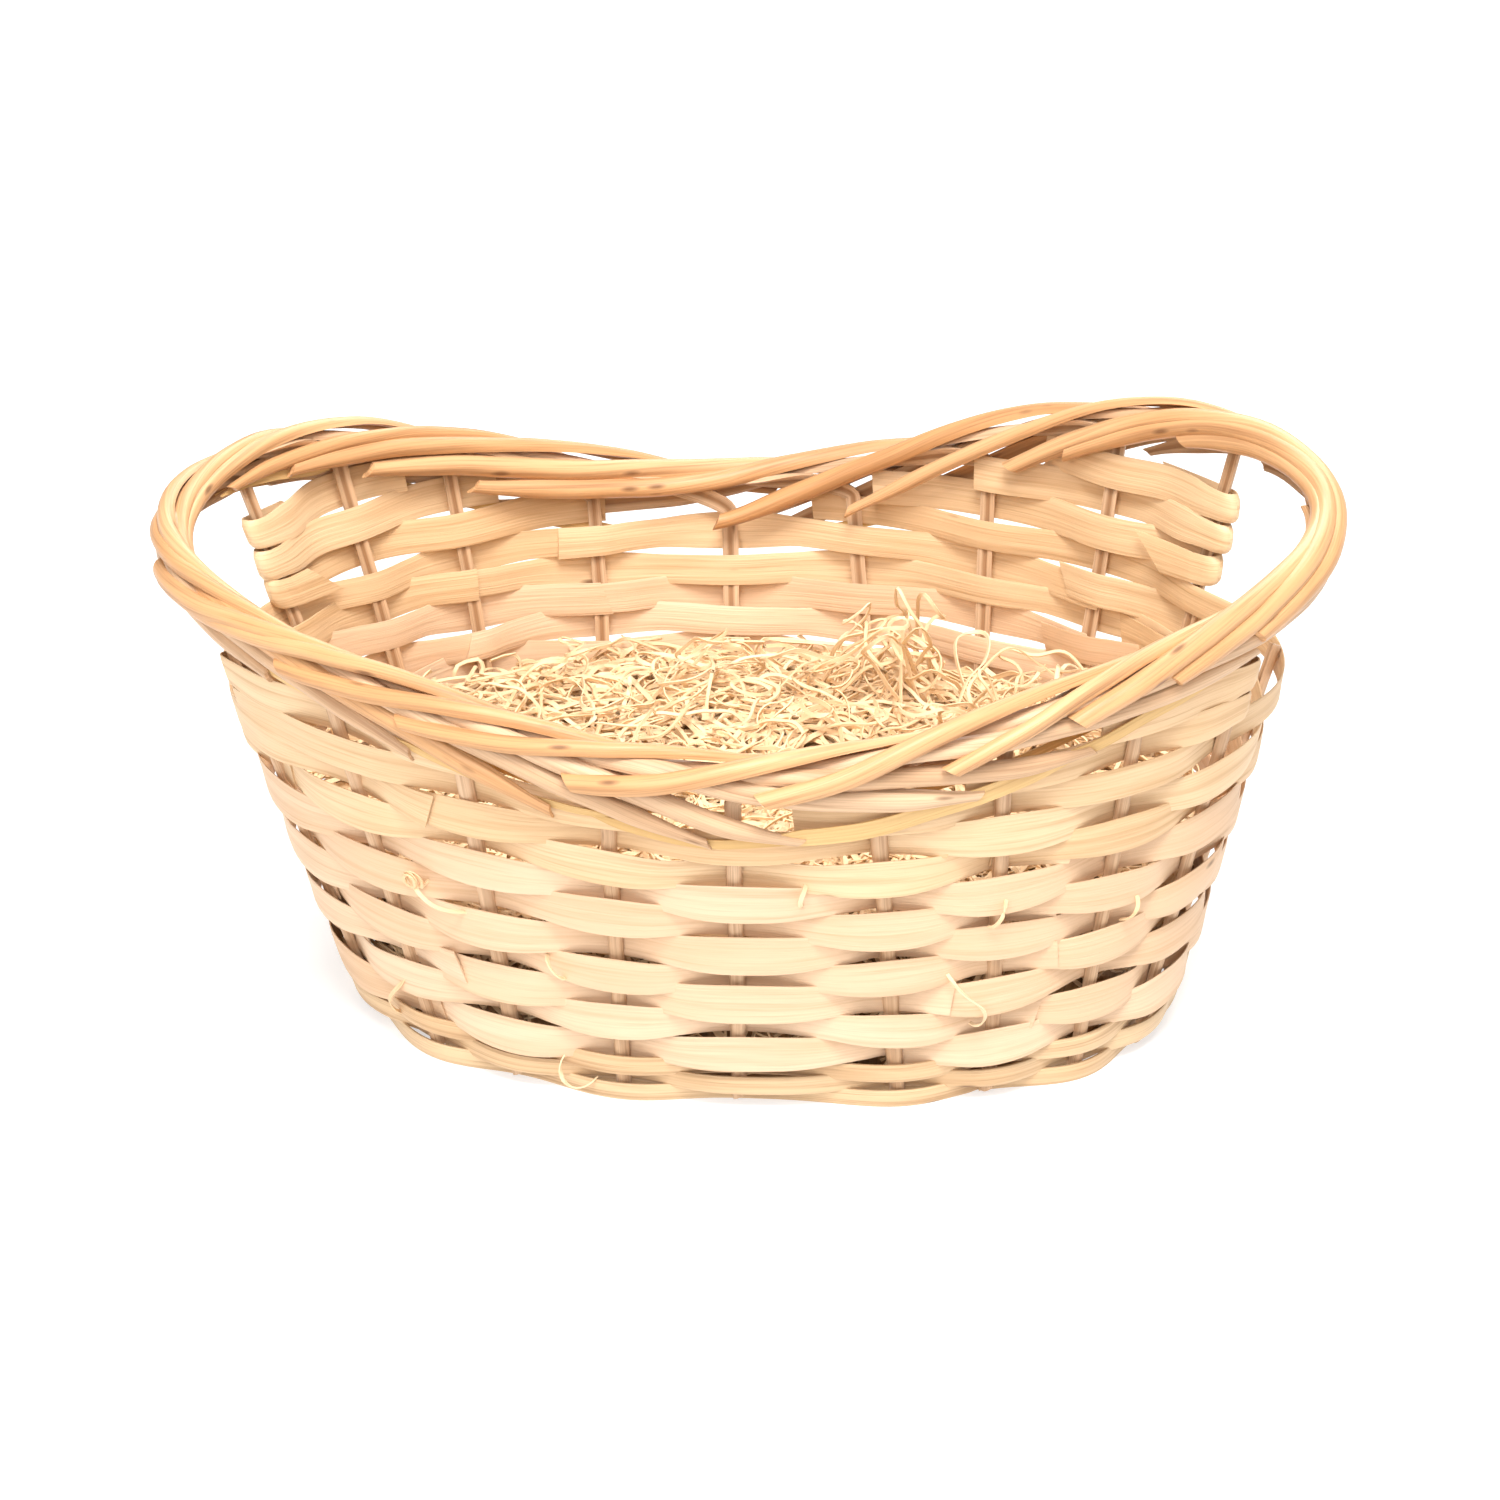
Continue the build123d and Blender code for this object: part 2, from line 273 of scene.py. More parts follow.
def willow(name, pale, deep, shade, roughness=0.5, streaks=1.0, knots=0.5, coat=0.0, from_attribute=True,
           grain_axis=(1, 0, 0)):
    """Split willow: lengthwise grain, a tint for each piece, blotches, fibres and a few knots.
    Its grain follows the pieces' own attribute, or an axis of the CAD node."""
    material = bpy.data.materials.new(name)
    material.use_nodes = True
    tree = material.node_tree
    shader = tree.nodes["Principled BSDF"]
    if from_attribute:
        source = node(tree, "ShaderNodeAttribute", attribute_name="grain").outputs["Vector"]
    else:
        source = node(tree, "ShaderNodeTexCoord").outputs["Object"]
    long = Vector(grain_axis)
    wide = Vector((1, 1, 1)) - long

    def noise(lengthwise, crosswise, detail, offset):
        scale = long * lengthwise + wide * crosswise
        moved = node(tree, "ShaderNodeMapping", {"Vector": source, "Location": (offset, offset, offset),
                                                 "Scale": scale})
        made = node(tree, "ShaderNodeTexNoise", {"Vector": moved.outputs[0], "Scale": 1.0, "Detail": detail,
                                                 "Roughness": NOISE_ROUGHNESS})
        return made.outputs["Fac"]

    fine = noise(*FINE_GRAIN)
    broad = noise(*BROAD_GRAIN)
    colour = mixed(tree, ramp(tree, noise(*PIECE_TINT), 0.35, 0.65), pale, deep)
    colour = mixed(tree, ramp(tree, noise(*BLOTCHES), 0.45, 0.78), colour, deep)
    for grain, low, high in ((broad, 0.48, 0.75), (fine, 0.5, 0.78)):
        streak = maths(tree, "MULTIPLY", ramp(tree, grain, low, high), GRAIN_STRENGTH * streaks)
        colour = mixed(tree, streak, colour, shade)
    if from_attribute:
        moved = node(tree, "ShaderNodeMapping", {"Vector": source, "Scale": KNOT_SCALE})
        spots = node(tree, "ShaderNodeTexVoronoi", {"Vector": moved.outputs[0], "Scale": 1.0})
        near = ramp(tree, spots.outputs["Distance"], 0.17, 0.06)
        lot = node(tree, "ShaderNodeSeparateColor", {"Color": spots.outputs["Color"]}).outputs[0]
        spot = maths(tree, "MULTIPLY", near, maths(tree, "LESS_THAN", lot, knots))
        colour = mixed(tree, maths(tree, "MULTIPLY", spot, KNOT_STRENGTH), colour, KNOT_COLOUR)
        mark = node(tree, "ShaderNodeAttribute", attribute_name="mark").outputs["Fac"]
        colour = mixed(tree, mark, colour, PITH_COLOUR)
    tree.links.new(colour, shader.inputs["Base Color"])
    rough = node(tree, "ShaderNodeMapRange", {"Value": broad, "From Min": 0.3, "From Max": 0.8,
                                              "To Min": roughness - ROUGHNESS_BELOW,
                                              "To Max": roughness + ROUGHNESS_ABOVE})
    tree.links.new(rough.outputs[0], shader.inputs["Roughness"])
    relief = maths(tree, "ADD", fine, broad)
    bump = node(tree, "ShaderNodeBump", {"Height": relief, "Strength": RELIEF_STRENGTH,
                                         "Distance": RELIEF_HEIGHT})
    tree.links.new(bump.outputs[0], shader.inputs["Normal"])
    shader.inputs["Specular IOR Level"].default_value = SPECULAR
    shader.inputs["Coat Weight"].default_value = coat
    shader.inputs["Coat Roughness"].default_value = COAT_ROUGHNESS
    return material


# Each wood: its pale, deep and shade colours.
SPLINT_WOOD = willow("splint_wood", (0.86, 0.63, 0.43, 1), (0.78, 0.53, 0.33, 1), (0.52, 0.30, 0.14, 1),
                     knots=0.05, streaks=0.65)
TOP_SPLINT_WOOD = willow("top_splint_wood", (0.85, 0.62, 0.38, 1), (0.77, 0.52, 0.29, 1),
                         (0.46, 0.24, 0.09, 1), knots=0.08, streaks=0.8)
BAST_WOOD = willow("bast_wood", (0.78, 0.53, 0.24, 1), (0.68, 0.43, 0.17, 1), (0.42, 0.22, 0.07, 1),
                   knots=0.05)
STAKE_WOOD = willow("stake_wood", (0.75, 0.52, 0.33, 1), (0.63, 0.40, 0.23, 1), (0.30, 0.14, 0.06, 1),
                    knots=0.25, coat=0.1)
BORDER_WOOD = willow("border_wood", (0.77, 0.46, 0.23, 1), (0.63, 0.33, 0.14, 1), (0.30, 0.13, 0.05, 1),
                     roughness=0.42, knots=0.7, coat=0.15, streaks=1.0)
FOOT_WOOD = willow("foot_wood", (0.80, 0.58, 0.35, 1), (0.70, 0.46, 0.25, 1), (0.34, 0.16, 0.06, 1),
                   knots=0.2)
WOOL_WOOD = willow("wool_wood", (0.93, 0.73, 0.48, 1), (0.88, 0.63, 0.37, 1), (0.60, 0.37, 0.16, 1),
                   knots=0.0, streaks=0.5)
# The core is wood wool like the strands, but coloured a darker brown as painted shade: it stands for the
# shadows deep between the strands.
SHADED_WOOL_CORE = willow("shaded_wool_core", (0.62, 0.40, 0.19, 1), (0.46, 0.27, 0.12, 1), (0.22, 0.11, 0.04, 1),
                   knots=0.0, streaks=1.5)
BASE_WOOD = willow("base_wood", (0.74, 0.52, 0.31, 1), (0.62, 0.40, 0.21, 1), (0.36, 0.18, 0.08, 1),
                   from_attribute=False)
BASE_SPLINT_WOOD = willow("base_splint_wood", (0.82, 0.61, 0.38, 1), (0.73, 0.49, 0.27, 1),
                          (0.45, 0.24, 0.10, 1), from_attribute=False, grain_axis=(0, 1, 0))


# ---- Rods ----------------------------------------------------------------------------
ROUND_SIDE = np.linspace(0, math.pi, 11)
ROUND_POWER = 0.85            # a little flatter than a half circle
GROOVE = [(-0.26, 0.0), (-0.09, 0.2), (0.09, 0.2), (0.26, 0.0)]
GROOVE_MARK = [0.0, 0.75, 0.75, 0.0]
WOBBLE, GIRTH_DRIFT = 0.25, 0.05
START_TAPER_LENGTH, END_TAPER_LENGTH = 12, 28


def half_round(width, thickness):
    """Section of a split rod, round side toward +out, with the pith groove in its flat side."""
    across = np.concatenate([width / 2 * np.cos(ROUND_SIDE), [x * width for x, depth in GROOVE]])
    out = np.concatenate([thickness * (np.sin(ROUND_SIDE) ** ROUND_POWER - 0.5),
                          [(depth - 0.5) * thickness for x, depth in GROOVE]])
    mark = np.array([0.0] * len(ROUND_SIDE) + GROOVE_MARK)
    return across, out, mark


def split_rod(piece, path, out_vectors, size, taper_start=1.0, taper_end=1.0, slant=1.5, swell=1.0):
    """Half-round rod along a path, its round side toward out_vectors."""
    tangent = unit(np.gradient(path, axis=0))
    out = unit(out_vectors - tangent * (out_vectors * tangent).sum(-1, keepdims=True))
    across = np.cross(tangent, out)
    length = np.concatenate([[0], np.cumsum(np.linalg.norm(np.diff(path, axis=0), axis=1))])
    path = path + across * drift(length, 70, WOBBLE)[:, None] + out * drift(length, 60, WOBBLE * 0.5)[:, None]
    profile_across, profile_out, mark = half_round(*size)
    girth = swell * (1 + drift(length, 90, GIRTH_DRIFT))
    girth = girth - (1 - taper_start) * (1 - smooth(length / START_TAPER_LENGTH))
    girth = girth - (1 - taper_end) * (1 - smooth((length[-1] - length) / END_TAPER_LENGTH))
    rings = (path[:, None] + across[:, None] * (profile_across * girth[:, None])[..., None]
             + out[:, None] * (profile_out * girth[:, None])[..., None])
    lean = profile_across / size[0] * 2 * slant
    rings[0] += tangent[0] * lean[:, None]
    rings[-1] += tangent[-1] * (lean * rng.choice([-1, 1]))[:, None]
    around = np.concatenate([[0], np.cumsum(np.hypot(np.diff(profile_across), np.diff(profile_out)))])
    piece.tube(rings, around, mark * np.ones((len(path), 1)))


# Border: every stake bends over, passes behind the wraps, over the top and down the
# outside. The wraps start outside, climb over the top and end hanging inside. Each key is
# (share or gaps run, distance out of the rim line, height over it, way the round side faces).
STRAND_KEYS = [(0.0, -0.6, -1.0, -20), (0.3, -1.6, 4.5, 20), (0.8, -1.4, 8.0, 75), (1.3, 1.5, 9.4, 85),
               (1.9, 4.6, 6.4, 55), (2.6, 6.1, 0.3, 20), (3.3, 6.6, -7.6, 5), (3.9, 6.4, -15.0, -5)]
WRAP_KEYS = [(0.0, 9.0, 3.0, 25), (0.14, 7.8, 8.5, 50), (0.3, 3.4, 14.4, 75), (0.46, -2.2, 14.2, 105),
             (0.62, -6.2, 9.4, 140), (0.8, -7.6, 2.6, 165), (1.0, -8.0, -6.5, 180)]
WRAP_GAPS = 4.0
END_OUT, END_IN, END_RISE, END_DROP = 0.74, 0.5, 0.56, 0.3    # the border is slimmer at the handles
SAMPLES = 14                  # rings to a gap


def keyed(values, keys):
    """Smooth curve through keys of a position and the values there."""
    keys = np.array(keys, float)
    slopes = np.gradient(keys[:, 1:], keys[:, 0], axis=0)
    index = np.clip(np.searchsorted(keys[:, 0], values, side="right") - 1, 0, len(keys) - 2)
    span = keys[index + 1, 0] - keys[index, 0]
    t = ((values - keys[index, 0]) / span)[:, None]
    span = span[:, None]
    first, last = keys[index, 1:], keys[index + 1, 1:]
    return (first * (1 + 2 * t) * (1 - t) ** 2 + last * t * t * (3 - 2 * t)
            + span * t * (1 - t) * (slopes[index] * (1 - t) - slopes[index + 1] * t))


def border_path(place, out, rise, facing):
    """Points at distances out of and over the rim line, and the way that a round side faces."""
    centre, along, outward, up = border_frame(place)
    side = side_share(place)
    end_share = np.where(out < 0, END_IN, END_OUT)
    out = out * (end_share + (1 - end_share) * side)
    end_share = np.where(rise < 0, END_DROP, END_RISE)
    rise = rise * (end_share + (1 - end_share) * side)
    facing = np.radians(facing)
    path = centre + outward * out[:, None] + up * rise[:, None]
    return path, outward * np.cos(facing)[:, None] + up * np.sin(facing)[:, None]


def strand_path(first):
    """Path and round side of a stake once it has bent over."""
    last = STRAND_KEYS[-1][0]
    run = np.linspace(0, last, int(last * SAMPLES))
    out, rise, facing = keyed(run, STRAND_KEYS).T
    stretch = 1 + rng.uniform(-0.12, 0.03) * smooth(run / last)
    shift = rng.uniform(-1.0, 1.0) * smooth(run / 2)
    return border_path(first + run * stretch, out + rng.uniform(-0.3, 0.4), rise + shift, facing)


def wrap_path(start):
    """Path and round side of a loose rod laid over the border."""
    run = np.linspace(0, 1, int(WRAP_GAPS * SAMPLES))
    out, rise, facing = keyed(run, WRAP_KEYS).T
    place = start + WRAP_GAPS * rng.uniform(0.88, 1.08) * run
    rise = rise + rng.uniform(-1.6, 1.6)
    return border_path(place, out + rng.uniform(-0.8, 0.8), rise, facing + rng.uniform(-14, 14))


LEG_RINGS, BEND_RINGS, SWELL_RINGS = 24, 6, 12
BEND_DROP, BEND_MERGE = 3.0, 4     # the bend starts this far down, in mm, and ends at this ring


def leg_path(number, top):
    """Straight leg of a stake up the wall to a height, and its outward direction."""
    height = np.linspace(LEG_FOOT, top, LEG_RINGS)
    place = np.full_like(height, number)
    inner = wall_point(place, height, 0 * height)
    outer = wall_point(place, height, 0 * height + 1)
    return inner, outer - inner


def stake_piece(number):
    piece = Piece()
    strand, facing = strand_path(number)
    leg, outward = leg_path(number, strand[0][2] - BEND_DROP)
    after, facing_after = strand[BEND_MERGE:], facing[BEND_MERGE:]
    bend = np.linspace(0, 1, BEND_RINGS + 2)[1:-1, None]
    curve = (1 - bend) ** 2 * leg[-1] + 2 * bend * (1 - bend) * strand[0] + bend ** 2 * after[0]
    path = np.concatenate([leg, curve, after])
    out = np.concatenate([outward, outward[-1] + (facing_after[0] - outward[-1]) * bend, facing_after])
    swell = np.ones(len(path))
    swell[:LEG_RINGS] = STAKE_SIZE[0] / STRAND_SIZE[0]
    swell[LEG_RINGS:LEG_RINGS + SWELL_RINGS] = np.linspace(STAKE_SIZE[0] / STRAND_SIZE[0], 1, SWELL_RINGS)
    split_rod(piece, path, out, STRAND_SIZE, taper_end=0.5, swell=swell * rng.uniform(0.88, 1.05))
    return piece


def short_stake_piece(number, top):
    piece = Piece()
    leg, outward = leg_path(number, top)
    split_rod(piece, leg, outward, STAKE_SIZE, slant=0.8)
    return piece


for number in range(STAKES):
    node_name = f"stake_{number + 1:02d}"
    if number in (RIGHT_OPENING, LEFT_OPENING):
        made = short_stake_piece(number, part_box(node_name)[1][2] / MM)
    else:
        made = stake_piece(number)
    made.build(f"split_{node_name}", STAKE_WOOD, "basket", "stake", [node_name])

for side, number in (("right", RIGHT_OPENING), ("left", LEFT_OPENING)):
    made = Piece()
    split_rod(made, *strand_path(number), STRAND_SIZE, taper_end=0.5)
    made.build(f"split_handle_strand_{side}", BORDER_WOOD, "basket", "border_rod", [f"handle_strand_{side}"])

for first, corner in ((0, "back_right"), (5, "back_left"), (10, "front_left"), (15, "front_right")):
    made = Piece()
    for start in WRAP_STARTS[first:first + 5]:
        split_rod(made, *wrap_path(start), WRAP_SIZE, taper_start=0.93, taper_end=0.7, slant=2.0,
                  swell=rng.uniform(0.8, 1.1))
    made.build(f"split_border_wraps_{corner}", BORDER_WOOD, "basket", "border_rod",
               [f"border_wraps_{corner}"])


# ---- Splints -------------------------------------------------------------------------
ACROSS = np.array([-1, -0.93, -0.6, -0.2, 0.2, 0.6, 0.93, 1])
OUTSIDE_SWING, INSIDE_SWING, LINGER = 3.2, -2.5, 0.42
SLANT_RINGS = 5               # a slanting cut end dies out over this many rings
BACK_GRAIN = 3                # the back's grain is taken this far from the front's
LOWEST = 0.15                 # nothing reaches closer to the floor


def weave_out(place, row):
    """Middle of a splint as it passes outside and inside the stakes."""
    wave = np.cos(math.pi * (place + row))
    wave = wave + LINGER * (1 - wave ** 2)
    return (OUTSIDE_SWING + INSIDE_SWING) / 2 + (OUTSIDE_SWING - INSIDE_SWING) / 2 * wave


def flat_splint(piece, place, out, low, high, thickness=SPLINT_THICKNESS, cup=0.0, slant=(0.0, 0.0),
                ragged=0.5, tilt=0.55, corners=0.0):
    """Flat chip along (place, out) pairs, between two heights that may vary along it; its lower
    edge stands out by the tilt, and corners draws both edges back along the wall."""
    count = len(place)
    low = np.broadcast_to(low, count) + drift(place, 5, ragged)
    high = np.broadcast_to(high, count) + drift(place, 4, ragged)
    twist = drift(place, 3.5, 0.25)
    across = np.concatenate([ACROSS, ACROSS[::-1]])
    face = np.concatenate([np.ones(len(ACROSS)), -np.ones(len(ACROSS))])
    thin = 1 - 0.55 * np.abs(across) ** 8
    middle = (low + high) / 2
    height = np.maximum(middle[:, None] + (high - low)[:, None] / 2 * across, LOWEST)
    offset = out[:, None] + face * thickness / 2 * thin + cup * (across ** 2 - 0.4)
    offset = offset + (twist[:, None] - tilt) * across
    spots = place[:, None] + np.broadcast_to(corners, count)[:, None] * (0.75 * across ** 4 + 0.25 * across)
    share = np.linspace(0, 1, count)
    spots = spots + slant[0] * across * np.exp(-share * count / SLANT_RINGS)[:, None]
    spots = spots + slant[1] * across * np.exp(-(1 - share) * count / SLANT_RINGS)[:, None]
    rings = wall_point(spots, height, offset)
    around = np.concatenate([ACROSS, ACROSS[::-1] + BACK_GRAIN]) * (high - low).mean() / 2
    piece.tube(rings[:, ::-1], around[::-1])


def row_span(row):
    if row > ROWS:
        low = SHOULDER_START + (row - ROWS - 1) * SHOULDER_PITCH
        return low, low + SHOULDER_HEIGHT
    low = ROW_START + (row - 1) * ROW_PITCH
    return low, low + ROW_HEIGHT


def ring_row(row):
    """A full row: splints that overlap on the inside of a stake."""
    piece = Piece()
    low, high = row_span(row)
    start = 5 * row + 1
    for gaps in SPLINT_GAPS:
        place = np.linspace(start - 0.05, start + gaps + rng.uniform(0.15, 0.75), int((gaps + 0.4) * SAMPLES))
        tuck = smooth((place - (start + gaps) + 0.25) / 0.2)
        swing = 1 + drift(place, 5, 0.16)
        out = weave_out(place, row) * swing + 1.0 * rng.choice([-1, 1]) * tuck
        outside = np.cos(math.pi * (place + row))
        lap = ROW_LAP + rng.uniform(-0.6, 0.3) + BULGE_LAP * np.maximum(outside, 0)
        sag = drift(place, 6.5, 2.3) - 0.5 * outside
        flat_splint(piece, place, out, low + sag - lap, high + sag + lap, cup=rng.uniform(-0.25, 0.35),
                    slant=rng.uniform(-0.06, 0.06, 2), tilt=rng.uniform(0.35, 0.95))
        start += gaps
    return piece


for row in range(1, ROWS + 1):
    wood = TOP_SPLINT_WOOD if row >= ROWS - 1 else SPLINT_WOOD
    ring_row(row).build(f"chip_row_{row}", wood, "basket", "splint", [f"weft_row_{row}"])


BORDER_RADIUS, BORDER_CLEAR = 3.9, 2.4


def border_underside(place):
    centre, along, outward, up = border_frame(np.array([place]))
    return (centre - up * BORDER_RADIUS)[0][2] - BORDER_CLEAR


def row_reach(row, opening, direction):
    top = row_span(row)[1]
    place = opening
    while border_underside(place + direction / 4) > top + 1 and abs(place - opening) < 5:
        place += direction / 4
    return place


FOLD_OUT, FOLD_REACH, FOLD_CORNER = 3.4, 7.2, 2.6
TURN_RINGS, TAIL_RINGS = 13, 9
GAP_LENGTH = PLAN_LENGTHS[-1] / STAKES


def folded_row(piece, row, stake, direction, face, lift):
    """Short row of a shoulder: it passes one face of the stake beside the hand opening (1 for
    outside, -1 for inside), folds round it and runs back along the other."""
    low, high = row_span(row)
    far = row_reach(row, stake, direction) + 0.6 * direction
    run = np.linspace(far, stake + 0.06 * direction, int(abs(far - stake) * SAMPLES) + 2)
    turn = np.linspace(math.pi / 2, -math.pi / 2, TURN_RINGS + 1)[1:]
    reach = FOLD_REACH + rng.uniform(-1.2, 0.8)
    fold_place = stake - direction * reach * np.cos(turn) / GAP_LENGTH
    tail = np.linspace(stake + 0.06 * direction, stake + rng.uniform(0.4, 0.6) * direction, TAIL_RINGS)
    place = np.concatenate([run, fold_place, tail])
    blend = smooth((np.abs(run - stake) - 0.1) / 0.7)
    run_out = weave_out(run, row) * blend + face * FOLD_OUT * (1 - blend)
    out = np.concatenate([run_out, 0.3 + face * FOLD_OUT * np.sin(turn),
                          np.full(TAIL_RINGS, -face * (FOLD_OUT + 0.4))])
    rise = lift * np.concatenate([smooth(1 - np.abs(run - stake) / 1.2), np.ones(TURN_RINGS + TAIL_RINGS)])
    rise[len(run):] -= 1.5 * smooth(np.linspace(0, 1, TURN_RINGS + TAIL_RINGS))
    pinch = np.concatenate([smooth((0.3 - np.abs(run - stake)) / 0.3), np.ones(TURN_RINGS),
                            np.linspace(1, 0.5, TAIL_RINGS)])
    corners = np.concatenate([np.zeros(len(run)), np.cos(turn) * direction * FOLD_CORNER / GAP_LENGTH,
                              np.zeros(TAIL_RINGS)])
    lap = 0.9 - 1.2 * pinch
    flat_splint(piece, place, out, low + rise - lap, high + rise + lap, cup=0.15,
                slant=(0.0, rng.uniform(0.1, 0.2)), tilt=0.1, corners=corners)


# Corner, opening, direction away from it, and its rows: number, face and lift.
SHOULDERS = (("back_right", RIGHT_OPENING, 1, ((11, 1, 1), (12, -1, 2.0), (13, -1, 2.5))),
             ("front_right", RIGHT_OPENING + STAKES, -1, ((11, 1, 0.5), (12, 1, 1.0))),
             ("back_left", LEFT_OPENING, -1, ((10, 1, -1.5), (11, -1, -2.5), (12, -1, -2.0))),
             ("front_left", LEFT_OPENING, 1, ((10, 1, -1.0), (11, 1, -1.0))))
for corner, opening, direction, rows in SHOULDERS:
    made = Piece()
    for row, face, lift in rows:
        folded_row(made, row, opening + direction, direction, face, lift)
    made.build(f"chip_shoulder_{corner}", TOP_SPLINT_WOOD, "basket", "splint", [f"shoulder_splints_{corner}"])

made = Piece()
sill = ROWS + 1
sill_ends = [row_reach(sill, RIGHT_OPENING, direction) + 0.6 * direction for direction in (-1, 1)]
sill_place = np.linspace(*sill_ends, 8 * SAMPLES)
flat_splint(made, sill_place, weave_out(sill_place, sill), *row_span(sill), cup=0.2)
made.build("chip_right_sill", TOP_SPLINT_WOOD, "basket", "splint", ["right_sill_splint"])


# ---- Foot ----------------------------------------------------------------------------
def foot_row(number):
    piece = Piece()
    low = FOOT_START + number * FOOT_PITCH
    start = 5 * number + 1
    for gaps in SPLINT_GAPS:
        place = np.linspace(start - 0.1, start + gaps + 0.3, int((gaps + 0.4) * SAMPLES))
        wave = 2.8 * np.cos(math.pi * (place + number))
        tuck = smooth((place - (start + gaps) + 0.25) / 0.2)
        point = 1.0 * smooth((place - (start + gaps) + 0.2) / 0.5)
        slope = drift(place, 7, 0.35) if number else drift(place, 7, 0.15)
        flat_splint(piece, place, wave - 1.2 * tuck, low - 0.7 + slope + point,
                    low + FOOT_HEIGHT + 0.9 + slope - point, thickness=1.6, ragged=0.25, tilt=0.3)
        start += gaps
    return piece


for number in range(FOOT_ROWS):
    foot_row(number).build(f"foot_row_{number + 1}", FOOT_WOOD, "basket", "foot_rod",
                           [f"foot_wale_{number + 1}"])

for name, material in (("base_hoop", BASE_WOOD), ("base_ribs", BASE_WOOD),
                       ("base_splints", BASE_SPLINT_WOOD)):
    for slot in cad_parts[name].material_slots:
        slot.material = material


# ---- Wood wool -----------------------------------------------------------------------
WOOL_INSET = 6.2
WOOL_FLOOR, WOOL_EDGE, WOOL_RISE = 8.0, 66.0, 13.0


def inner_radius(angle, height, inset):
    """Distance from the middle to the inside of the wall in each direction of plan."""
    place = np.linspace(0, STAKES, 721)
    ring = wall_point(place, np.full(721, float(height)), np.full(721, -inset))
    direction = np.arctan2(ring[:, 1], ring[:, 0] - BASE_SHIFT) % (2 * math.pi)
    order = np.argsort(direction)
    distance = np.hypot(ring[:, 0] - BASE_SHIFT, ring[:, 1])
    return np.interp(angle % (2 * math.pi), direction[order], distance[order], period=2 * math.pi)


def bed_height(x, y):
    """Top of the bed: a low mound with soft lumps."""
    angle = np.arctan2(y, x - BASE_SHIFT)
    share = np.hypot(x - BASE_SHIFT, y) / inner_radius(angle, WOOL_EDGE, WOOL_INSET)
    lumps = 2.2 * np.sin(x / 17 + 1) * np.sin(y / 15) + 1.6 * np.sin(x / 9 - y / 12)
    return WOOL_EDGE + WOOL_RISE * (1 - np.clip(share, 0, 1) ** 3) + lumps * (1 - np.clip(share, 0, 1) ** 4)


CORE_INSET, CORE_DEPTH, CORE_POINTS = WOOL_INSET + 5, 9, 120


def shaded_wool_core(piece):
    """Closed lumpy body under the strands, made of the same wood wool but coloured darker brown as painted
    shade in the gaps between them.
    """
    angle = np.linspace(0, 2 * math.pi, CORE_POINTS, endpoint=False)
    rings = []
    for height in (WOOL_FLOOR, 20, 35, 50, WOOL_EDGE - 10):
        radius = inner_radius(angle, height, CORE_INSET) + 1.3 * np.sin(angle * 23 + height)
        rings.append((radius + np.sin(angle * 11), np.full(CORE_POINTS, float(height))))
    for share in (0.93, 0.8, 0.6, 0.4, 0.2, 0.05):
        radius = inner_radius(angle, WOOL_EDGE, CORE_INSET) * share
        height = bed_height(BASE_SHIFT + radius * np.cos(angle), radius * np.sin(angle)) - CORE_DEPTH
        rings.append((radius, height))
    points = [np.stack([BASE_SHIFT + radius * np.cos(angle), radius * np.sin(angle), height], -1)
              for radius, height in rings]
    piece.tube(np.array(points), angle * 60)


def ribbon(piece, path, width, thickness):
    """Flat strand along a path, rolled at random."""
    tangent = unit(np.gradient(path, axis=0))
    roll = unit(np.cross(tangent, unit(rng.normal(size=3))[None]))
    other = np.cross(tangent, roll)
    across = np.array([1, 1, -1, -1]) * width / 2
    out = np.array([1, -1, -1, 1]) * thickness / 2
    rings = path[:, None] + roll[:, None] * across[:, None] + other[:, None] * out[:, None]
    piece.tube(rings, np.array([0, thickness, width, width + thickness]))


def curl(length, radius, step=2.6):
    """Plan of a curly strand about its middle: it keeps turning, now more, now less."""
    count = int(length / step)
    along = np.arange(count) * step
    bend = rng.choice([-1, 1]) / radius * (1 + 1.3 * np.sin(along / rng.uniform(8, 22) + rng.uniform(0, 7)))
    turn = rng.uniform(0, 2 * math.pi) + np.cumsum(bend) * step
    path = np.cumsum(np.stack([np.cos(turn), np.sin(turn)], -1) * step, axis=0)
    return path - path.mean(0)


def keep_inside(path, inset):
    """Draws a strand in to the wall's inside."""
    path = path.copy()
    angle = np.arctan2(path[:, 1], path[:, 0] - BASE_SHIFT)
    reach = np.hypot(path[:, 0] - BASE_SHIFT, path[:, 1])
    limit = inner_radius(angle, 60, inset) + (path[:, 2] - 60) * 0.2
    squeeze = np.minimum(1, limit / np.maximum(reach, 1))
    path[:, 0] = BASE_SHIFT + (path[:, 0] - BASE_SHIFT) * squeeze
    path[:, 1] *= squeeze
    path[:, 2] = np.maximum(path[:, 2], WOOL_FLOOR)
    return path


def spot_on_bed(spread):
    angle = rng.uniform(0, 2 * math.pi)
    reach = math.sqrt(rng.uniform(0, 1)) * spread
    reach *= float(inner_radius(np.array([angle]), WOOL_EDGE, WOOL_INSET)[0])
    return np.array([BASE_SHIFT + reach * math.cos(angle), reach * math.sin(angle)])


def lying_strand(piece, depth):
    plan = curl(rng.uniform(70, 170), rng.uniform(11, 30)) + spot_on_bed(0.97)
    along = np.linspace(0, 1, len(plan))
    wave = drift(along, 0.5, 2.6) + drift(along, 0.22, 1.2)
    path = np.column_stack([plan, bed_height(*plan.T) - depth + wave])
    ribbon(piece, keep_inside(path, WOOL_INSET), rng.uniform(1.1, 1.8), rng.uniform(0.4, 0.7))


